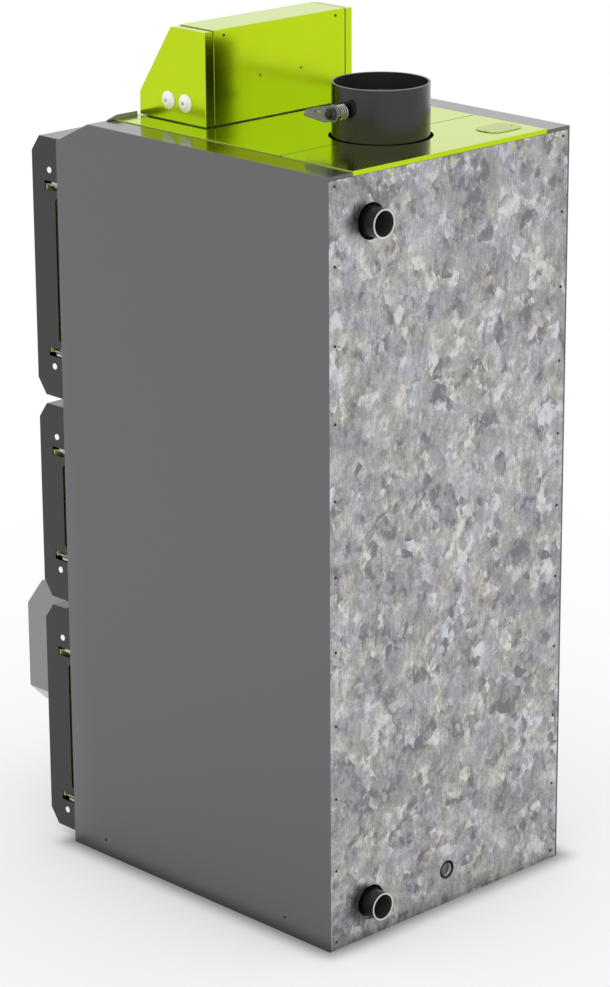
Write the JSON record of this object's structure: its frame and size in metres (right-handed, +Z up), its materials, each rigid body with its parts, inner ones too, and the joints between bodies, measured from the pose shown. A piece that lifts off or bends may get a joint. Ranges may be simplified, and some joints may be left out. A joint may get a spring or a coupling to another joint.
{
  "type": "pellet boiler",
  "caption": "Floor-standing pellet boiler: sheet-metal casing over a water body, front doors, burner under a cover, top flue stub with sprung damper, console on the lid, rear water pipes.",
  "frame": {"origin": "on the floor under the middle of the casing, in the plane of the base pan's underside", "axes": "+Z up; the doors face -Y and the galvanised back with the water pipes faces +Y; +X is to the right of someone who faces the doors"},
  "size_m": [0.5624, 0.9825, 1.4711],
  "materials": {
    "lime_paint": "gloss powder coat",
    "grey_paint": "satin-gloss powder coat",
    "door_paint": "satin powder coat",
    "cover_paint": "light grey satin powder coat",
    "flue_paint": "heat-proof satin black paint",
    "galvanised": "hot-dip galvanised with broad spangle",
    "zinc_plate": "bright zinc plate",
    "bare_steel": "mill-finish boiler plate",
    "fire_steel": "dark scaled boiler plate",
    "white_plastic": "smooth white plastic",
    "black_plastic": "fine-grained black plastic",
    "display_glass": "dark glossy window",
    "mineral_board": "pressed mineral board",
    "mineral_wool": "mineral wool",
    "glass_rope": "braided glass rope"
  },
  "bodies": {
    "casing": {"base_pan": "galvanised", "water_jacket": "bare_steel", "firebox": "fire_steel", "firebox_sides": "fire_steel", "roof_plates": "bare_steel", "front_plate": "fire_steel", "tube_sheets": "fire_steel", "fire_tubes": "bare_steel", "turbulators": "bare_steel", "flue_stub": "flue_paint", "water_pipes": "flue_paint", "drain_socket": "zinc_plate", "drain_plug": "flue_paint", "wool_wrap": "mineral_wool", "side_panel_right": "grey_paint", "side_panel_left": "grey_paint", "rear_panel": "galvanised", "lid_front": "lime_paint", "lid_rear": "lime_paint", "hatch_cover": "lime_paint", "fascia": "grey_paint", "console_ends": "lime_paint", "console_cover": "lime_paint", "console_front": "door_paint", "console_tray": "galvanised", "display": "display_glass", "cable_glands": "white_plastic", "black_screws": "black_plastic", "lime_screws": "lime_paint", "rivets": "zinc_plate", "hinge_lugs": "zinc_plate", "latch_keepers": "zinc_plate", "door_seals": "glass_rope", "ash_box": "bare_steel", "back_brick": "mineral_board"},
    "lower_door": {"lower_door": "door_paint", "lower_lining": "mineral_board", "lower_hinge": "lime_paint", "lower_plugs": "white_plastic", "burner_body": "bare_steel", "burner_cover": "cover_paint", "burner_cap": "cover_paint", "pellet_spout": "bare_steel"},
    "middle_door": {"middle_door": "door_paint", "middle_lining": "mineral_board", "middle_hinge": "lime_paint", "middle_plugs": "white_plastic"},
    "upper_door": {"upper_door": "door_paint", "upper_lining": "mineral_board", "upper_hinge": "lime_paint", "upper_plugs": "white_plastic"},
    "lower_handle": {"lower_handle": "black_plastic"},
    "middle_handle": {"middle_handle": "black_plastic"},
    "upper_handle": {"upper_handle": "black_plastic"},
    "fan": {"fan_wheel": "zinc_plate"},
    "damper": {"damper_disc": "flue_paint", "damper_spring": "zinc_plate", "damper_lever": "zinc_plate"},
    "knob": {"control_knob": "black_plastic"},
    "rocker": {"main_switch": "black_plastic"}
  },
  "joints": [
    {"name": "lower_door_swing", "type": "hinge", "parent": "casing", "child": "lower_door", "pos_m": [0.258, -0.349, 0], "axis": [0, 0, 1], "range_deg": [0, 110]},
    {"name": "middle_door_swing", "type": "hinge", "parent": "casing", "child": "middle_door", "pos_m": [0.258, -0.349, 0], "axis": [0, 0, 1], "range_deg": [0, 110]},
    {"name": "upper_door_swing", "type": "hinge", "parent": "casing", "child": "upper_door", "pos_m": [0.258, -0.349, 0], "axis": [0, 0, 1], "range_deg": [0, 110]},
    {"name": "lower_handle_turn", "type": "hinge", "parent": "lower_door", "child": "lower_handle", "pos_m": [-0.2465, -0.4, 0.095], "axis": [0, -1, 0], "range_deg": [0, 90]},
    {"name": "middle_handle_turn", "type": "hinge", "parent": "middle_door", "child": "middle_handle", "pos_m": [-0.2465, -0.4, 0.624], "axis": [0, -1, 0], "range_deg": [0, 90]},
    {"name": "upper_handle_turn", "type": "hinge", "parent": "upper_door", "child": "upper_handle", "pos_m": [-0.2465, -0.4, 1.043], "axis": [0, -1, 0], "range_deg": [0, 90]},
    {"name": "fan_spin", "type": "hinge", "parent": "lower_door", "child": "fan", "pos_m": [0, -0.558, 0.2575], "axis": [0, 1, 0], "continuous": true},
    {"name": "damper_turn", "type": "hinge", "parent": "casing", "child": "damper", "pos_m": [0, 0.163, 1.362], "axis": [-1, 0, 0], "range_deg": [0, 90]},
    {"name": "knob_turn", "type": "hinge", "parent": "casing", "child": "knob", "pos_m": [0.105, -0.19475, 1.41075], "axis": [0, -0.8282, 0.5604], "continuous": true},
    {"name": "rocker_tip", "type": "hinge", "parent": "casing", "child": "rocker", "pos_m": [-0.11, -0.19475, 1.41075], "axis": [1, 0, 0], "range_deg": [0, 12]}
  ]
}
